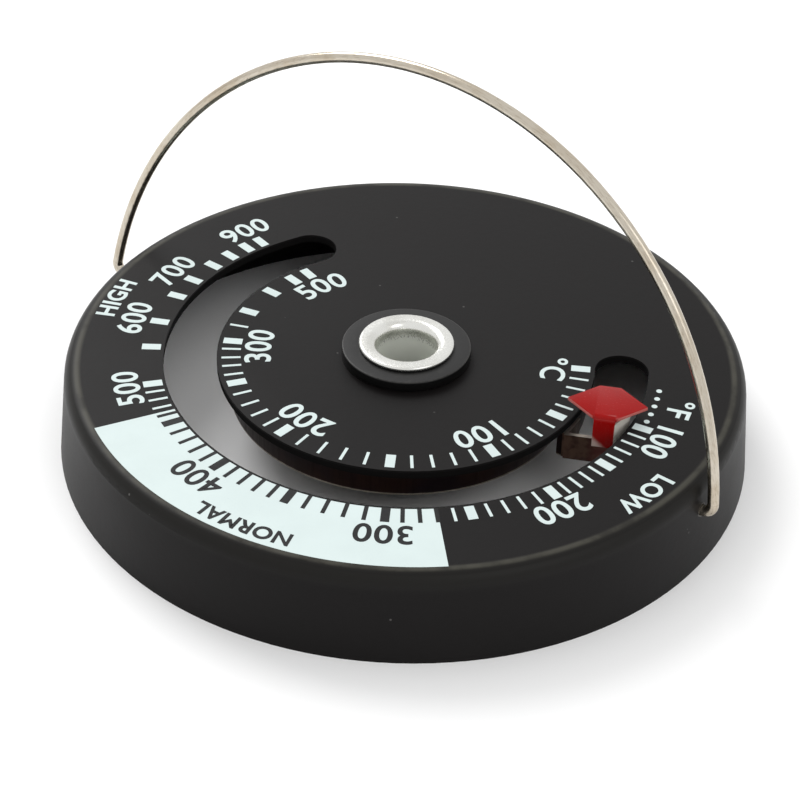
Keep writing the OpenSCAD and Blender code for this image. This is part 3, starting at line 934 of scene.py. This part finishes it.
class THERMOMETER_OT_dial(bpy.types.Operator):
    """Prints the two scales, the band, the numbers and the zone words"""

    bl_idname = "thermometer.dial"
    bl_label = "Dial"

    def execute(self, context):
        s, f = context.scene.thermometer_dial, context.scene.thermometer_finish
        white = ink("white_ink", f.white, (0.1, 0.1, 0.1))
        black = ink("black_ink", f.black, (0.2, 0.2, 0.2))
        low, high = FACE_Z - s.sunk, FACE_Z + s.ink
        tall = high - low
        over = tall + s.ink * 0.6  # ink on the band stands a little higher
        bars, dots = radial_marks_tree(), round_marks_tree()

        known = [FAHRENHEIT[v] for v in sorted(FAHRENHEIT) if v <= 500]
        tens = [
            first + (second - first) * i / 5
            for first, second in zip(known, known[1:]) for i in range(1, 5)
        ]

        def parted(directions):
            """Directions outside the band, and those inside it."""
            held = [a for a in directions if BAND[0] < a < BAND[1]]
            return [a for a in directions if a not in held], held

        def print_bars(name, radius, long, wide, directions, paint, height):
            mesh = grown(
                bars,
                {"Length": long, "Width": wide, "Thickness": height, "Ink": paint},
                on_circle(radius + long / 2, directions, low + height / 2),
            )
            piece_from(name, mesh, None, smooth=0)

        fifties, band_fifties = parted(list(FAHRENHEIT.values()))
        tens, band_tens = parted(tens)
        outer, inner = (s.tick_f, s.tick_f_l), (s.tick_c, s.tick_c_l)
        teeth_in = s.band_in - s.ink  # just past the band's inner edge
        reach = (teeth_in, s.tick_f + s.tick_f_l - teeth_in)
        for name, span, wide, directions, paint, height in (
            ("fahrenheit_fifties", outer, s.thick, fifties, white, tall),
            ("fahrenheit_tens", outer, s.thin, tens, white, tall),
            ("band_fifties", reach, s.thick_band, band_fifties, black, over),
            ("band_tens", reach, s.thin_band, band_tens, black, over),
            ("celsius_fifties", inner, s.thick, list(CELSIUS.values()), white, tall),
            ("celsius_tens", inner, s.thin, CELSIUS_TENS, white, tall),
        ):
            print_bars(name, *span, wide, directions, paint, height)
        mesh = grown(
            dots, {"Radius": s.dot / 2, "Thickness": tall, "Sides": 24, "Ink": white},
            on_circle(s.dot_r, FAHRENHEIT_DOTS, low + tall / 2),
        )
        piece_from("cold_dots", mesh, None, smooth=0)

        band = sector(s.band_in, s.band_out, *BAND, low, high)
        piece_from("normal_band", band, white, smooth=0)

        def print_words(name, words, paint, height, **pen):
            mesh = lettering(words, low, low + height, **pen)
            piece_from(name, mesh, paint, smooth=0)

        h = s.number_h
        numbers = [
            (str(v), s.number_f + out * MM, FAHRENHEIT[v] + shift, h)
            for v, shift, out in (
                (900, 0.2, 0.35), (700, -0.7, 0.3), (600, -0.1, 0.25), (500, 0.6, 0.1),
                (200, -1.3, 0.0), (100, -2.5, 0.0),
            )
        ]
        numbers += [("°F", s.number_f, 343.5, h * 0.97)]
        print_words("fahrenheit_numbers", numbers, white, tall)
        numbers = [
            (str(v), s.number_c, CELSIUS[v] + shift, h * 1.02)
            for v, shift in ((500, 0.5), (300, 2.1), (200, 1.2), (100, 0.2))
        ]
        numbers += [("°C", s.number_c, 353.0, h * 1.02)]
        print_words("celsius_numbers", numbers, white, tall)
        on_band = [(str(v), s.number_f + 0.2 * MM, FAHRENHEIT[v], h) for v in (400, 300)]
        print_words("band_numbers", on_band, black, over)
        word = [("NORMAL", s.word_r, 242.4, s.word_h)]
        print_words("band_word", word, black, over, pen=0.032)
        zones = [
            ("HIGH", s.word_r + 0.2 * MM, 164.6, s.word_h * 1.15),
            ("LOW", s.word_r - 0.1 * MM, 316.8, s.word_h * 1.15),
        ]
        print_words("zone_words", zones, white, tall, pen=0.028)
        return {"FINISHED"}


class THERMOMETER_OT_hub(bpy.types.Operator):
    """Makes the washer, the rolled eyelet and the bush"""

    bl_idname = "thermometer.hub"
    bl_label = "Hub"

    def execute(self, context):
        s, f = context.scene.thermometer_hub, context.scene.thermometer_finish
        low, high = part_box("hub_washer")
        e, hole, out = s.washer_edge, s.barrel + 0.05 * MM, high.x
        section = (
            arc((hole + e, low.z + e), e, 180, 270, 4)
            + arc((out - e, low.z + e), e, 270, 360, 6)
            + arc((out - e, high.z - e), e, 0, 90, 6)
            + arc((hole + e, high.z - e), e, 90, 180, 4)
        )
        mesh = lathed(section, s.steps)
        piece_from("washer", mesh, washer_black(), ["hub_washer"])

        low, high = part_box("hub_eyelet")
        out, rolled = min(high.x, s.flange_r), high.x
        e, t, lip = s.flange_edge, s.flange, s.lip
        section = (
            arc((s.bore + lip, high.z - lip), lip, 180, 90, 12)
            + arc((out - e, high.z - e), e, 90, 0, 6)
            + arc((out - e, high.z - t + e), e, 0, -90, 6)
            + [(s.barrel, high.z - t), (s.barrel, low.z + t)]
            + arc((rolled - e, low.z + t - e), e, 90, 0, 6)
            + arc((rolled - e, low.z + e), e, 0, -90, 6)
            + arc((s.bore + lip, low.z + lip), lip, 270, 180, 12)
        )
        mesh = lathed(section, s.steps)
        piece_from("eyelet", mesh, plated_bright(), ["hub_eyelet"])
        repaint("coil_bush", turned_steel("bush_steel", f.steel))
        return {"FINISHED"}


class THERMOMETER_OT_coil(bpy.types.Operator):
    """Winds the bimetal coil in half turns"""

    bl_idname = "thermometer.coil"
    bl_label = "Bimetal coil"

    def execute(self, context):
        s = context.scene.thermometer_coil
        finish = heat_tinted()
        low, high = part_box("bimetal_coil")
        tree = spiral_strip_tree()
        count = math.ceil(s.turns * 2)

        def spot(share):
            reach = s.outer - (s.outer - s.inner) * share**s.crowding
            turn = s.start + 2 * math.pi * s.turns * share
            return Vector((reach * math.cos(turn), reach * math.sin(turn), (low.z + high.z) / 2))

        def early(weight):
            """Place between 0 and 1 at which a smooth step reaches a weight."""
            return 0.5 - math.sin(math.asin(1 - 2 * weight) / 3)

        for i in range(count):
            outer, inner = i / count, (i + 1) / count
            mesh = grown(tree, {
                "From": outer, "To": inner, "Points": 49, "Outer radius": s.outer,
                "Inner radius": s.inner, "Turns": s.turns, "Crowding": s.crowding,
                "Start": s.start, "Thickness": s.strip, "Height": high.z - low.z,
                "Middle": (low.z + high.z) / 2, "Finish": finish,
            })
            stands_for = ["bimetal_coil"] if i == 0 else []
            piece = piece_from(
                f"coil_half_turn_{i + 1}", mesh, None, stands_for, body=None
            )
            a, b = spot(inner), spot(outer)
            t0, t1 = early(1 - inner), early(1 - outer)
            reach = (b - a) / (t1 - t0)
            begin = a - reach * t0
            begin + reach
            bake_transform(piece)

        # the inner end runs straight into the bush's slit
        turn = Matrix.Rotation(s.start + 2 * math.pi * s.turns, 4, "Z")
        shape = bmesh.new()
        bmesh.ops.create_cube(shape, size=1.0)
        long = s.inner + s.strip / 2 - s.tang
        bmesh.ops.transform(
            shape, verts=shape.verts,
            matrix=turn @ Matrix.Translation((s.tang + long / 2, 0, (low.z + high.z) / 2))
            @ Matrix.Diagonal((long, s.strip, high.z - low.z, 1)),
        )
        bmesh.ops.bevel(
            shape, geom=list(shape.edges), offset=0.04 * MM, segments=2, affect="EDGES"
        )
        piece_from("coil_tang", mesh_of(shape, "tang"), finish)
        return {"FINISHED"}


class THERMOMETER_OT_magnet(bpy.types.Operator):
    """Finishes the ring magnet and its plate"""

    bl_idname = "thermometer.magnet"
    bl_label = "Magnet"

    def execute(self, context):
        f = context.scene.thermometer_finish
        repaint("ring_magnet", ferrite_dark())
        repaint("pole_plate", rolled_steel("plate_steel", f.steel))
        return {"FINISHED"}


class THERMOMETER_OT_pointer(bpy.types.Operator):
    """Makes the red arrow and finishes its arm"""

    bl_idname = "thermometer.pointer"
    bl_label = "Pointer"

    def execute(self, context):
        s = context.scene.thermometer_pointer
        mesh = softened("pointer_arrow", s.edge)
        piece_from("arrow", mesh, red_enamel(), ["pointer_arrow"], "pointer")
        repaint("pointer_arm", arm_strip())
        return {"FINISHED"}


class THERMOMETER_OT_bail(bpy.types.Operator):
    """Finishes the wire bail"""

    bl_idname = "thermometer.bail"
    bl_label = "Bail"

    def execute(self, context):
        repaint("bail_wire", drawn_wire())
        return {"FINISHED"}


class THERMOMETER_OT_stage(bpy.types.Operator):
    """Sets the floor, the soft lights and the camera"""

    bl_idname = "thermometer.stage"
    bl_label = "Stage"

    def execute(self, context):
        scene, s = context.scene, context.scene.thermometer_stage
        mesh = bpy.data.meshes.new("floor")
        w, z = s.floor_r, CAD_BOUNDS[0].z
        mesh.from_pydata([(-w, -w, z), (w, -w, z), (w, w, z), (-w, w, z)], [], [(0, 1, 2, 3)])
        floor = bpy.data.objects.new("floor", mesh)
        scene.collection.objects.link(floor)
        mesh.materials.append(pale_floor())

        camera = bpy.data.objects.new("camera", bpy.data.cameras.new("camera"))
        scene.collection.objects.link(camera)
        camera.data.sensor_width, camera.data.lens = 36.0, s.lens
        camera.data.clip_start, camera.data.clip_end = 0.01, 20.0
        camera.matrix_world = CAMERA
        scene.camera = camera
        scene.view_settings.view_transform = "Standard"

        world = bpy.data.worlds.new("pale_sky")
        scene.world = world
        world.use_nodes = True
        sky = world.node_tree.nodes["Background"]
        sky.inputs["Color"].default_value = (1.0, 1.0, 1.0, 1.0)
        sky.inputs["Strength"].default_value = s.world

        middle = Vector((0, 0, FACE_Z))
        for name, place, size, power in (
            ("key_light", (-0.35, 0.55, 0.6), 0.5, s.key),
            ("fill_light", (0.5, -0.5, 0.7), 0.6, s.fill),
        ):
            light = bpy.data.lights.new(name, "AREA")
            light.shape, light.size, light.energy = "DISK", size, power
            lamp = bpy.data.objects.new(name, light)
            scene.collection.objects.link(lamp)
            lamp.location = place
            lamp.rotation_euler = (middle - Vector(place)).to_track_quat("-Z", "Y").to_euler()
        return {"FINISHED"}


OPERATORS = [
    THERMOMETER_OT_cover, THERMOMETER_OT_dial, THERMOMETER_OT_hub, THERMOMETER_OT_coil,
    THERMOMETER_OT_magnet, THERMOMETER_OT_pointer, THERMOMETER_OT_bail, THERMOMETER_OT_stage,
]


class THERMOMETER_PT_pieces(bpy.types.Panel):
    """Buttons for every piece and their settings"""

    bl_label = "Surface thermometer"
    bl_idname = "THERMOMETER_PT_pieces"
    bl_space_type = "VIEW_3D"
    bl_region_type = "UI"
    bl_category = "Thermometer"

    def draw(self, context):
        for operator in OPERATORS:
            self.layout.operator(operator.bl_idname)
        for name, group in GROUPS.items():
            box = self.layout.box()
            settings = getattr(context.scene, name)
            for key in group.__annotations__:
                box.prop(settings, key)


def register():
    for cls in [*GROUPS.values(), *OPERATORS, THERMOMETER_PT_pieces]:
        bpy.utils.register_class(cls)
    for name, group in GROUPS.items():
        setattr(bpy.types.Scene, name, PointerProperty(type=group))


def unregister():
    for name in GROUPS:
        delattr(bpy.types.Scene, name)
    for cls in reversed([*GROUPS.values(), *OPERATORS, THERMOMETER_PT_pieces]):
        bpy.utils.unregister_class(cls)


def main():
    register()
    for operator in OPERATORS:
        group, name = operator.bl_idname.split(".")
        getattr(getattr(bpy.ops, group), name)()


if __name__ == "__main__":
    main()
